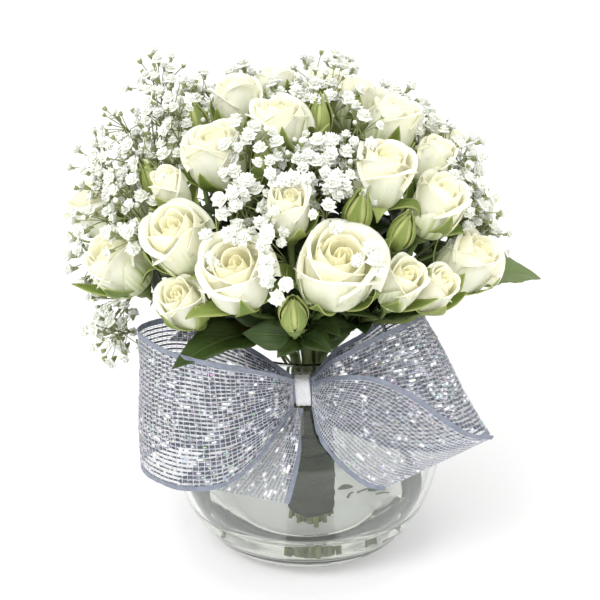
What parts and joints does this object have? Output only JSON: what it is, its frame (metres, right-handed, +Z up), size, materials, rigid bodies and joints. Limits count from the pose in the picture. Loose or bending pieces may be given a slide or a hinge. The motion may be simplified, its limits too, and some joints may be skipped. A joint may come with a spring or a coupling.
{
  "type": "floral table centerpiece",
  "caption": "Hand-tied bouquet of ivory spray roses and baby's breath standing in water in a round glass bowl, with a mesh ribbon bow on the bowl's shoulder.",
  "frame": {"origin": "middle of the glass bowl's flat foot, on the table", "axes": "+Z up through the bowl's mouth, the bow faces -Y, +X to the bow's right as seen from the front"},
  "size_m": [0.2453, 0.2291, 0.261],
  "materials": {
    "ivory_petal": "soft, slightly translucent",
    "rose_green": "satin leaf green",
    "sprig_white": "matt white",
    "clear_glass": "clear, polished",
    "water": "clear",
    "green_tape": "waxed crepe paper",
    "silver_mesh": "open mesh with silver foil threads",
    "white_satin": "soft satin"
  },
  "bodies": {
    "root": {"bow_loop_left": "silver_mesh", "bow_loop_right": "silver_mesh", "bow_tail_left": "silver_mesh", "bow_tail_right": "silver_mesh", "floral_tape": "green_tape", "glass_bowl": "clear_glass", "gypsophila_back_left": "sprig_white", "gypsophila_back_right": "sprig_white", "gypsophila_front": "sprig_white", "gypsophila_front_middle": "sprig_white", "gypsophila_left": "sprig_white", "gypsophila_left_cloud": "sprig_white", "gypsophila_left_low": "sprig_white", "gypsophila_right": "sprig_white", "gypsophila_right_low": "sprig_white", "gypsophila_right_top": "sprig_white", "gypsophila_top": "sprig_white", "knot_band": "white_satin", "leafy_stem_back": "rose_green", "leafy_stem_back_left": "rose_green", "leafy_stem_back_right": "rose_green", "leafy_stem_front": "rose_green", "leafy_stem_front_left": "rose_green", "leafy_stem_front_right": "rose_green", "leafy_stem_right": "rose_green", "leafy_stem_top": "rose_green", "rose_back_1": "ivory_petal", "rose_back_2": "ivory_petal", "rose_back_3": "ivory_petal", "rose_back_4": "ivory_petal", "rose_back_left_1": "ivory_petal", "rose_back_left_2": "ivory_petal", "rose_back_left_3": "ivory_petal", "rose_back_right_1": "ivory_petal", "rose_back_right_2": "ivory_petal", "rose_back_right_3": "ivory_petal", "rose_front_1": "ivory_petal", "rose_front_2": "ivory_petal", "rose_front_3": "ivory_petal", "rose_front_4": "ivory_petal", "rose_front_left_1": "ivory_petal", "rose_front_left_2": "ivory_petal", "rose_front_left_3": "ivory_petal", "rose_front_left_4": "ivory_petal", "rose_front_left_5": "ivory_petal", "rose_front_right_1": "ivory_petal", "rose_front_right_2": "ivory_petal", "rose_front_right_3": "ivory_petal", "rose_front_right_4": "ivory_petal", "rose_front_right_5": "ivory_petal", "rose_right_1": "ivory_petal", "rose_right_2": "ivory_petal", "rose_right_3": "ivory_petal", "rose_right_4": "ivory_petal", "rose_right_5": "ivory_petal", "rose_top_1": "ivory_petal", "rose_top_2": "ivory_petal", "rose_top_3": "ivory_petal", "rose_top_4": "ivory_petal", "water": "water"}
  },
  "joints": []
}
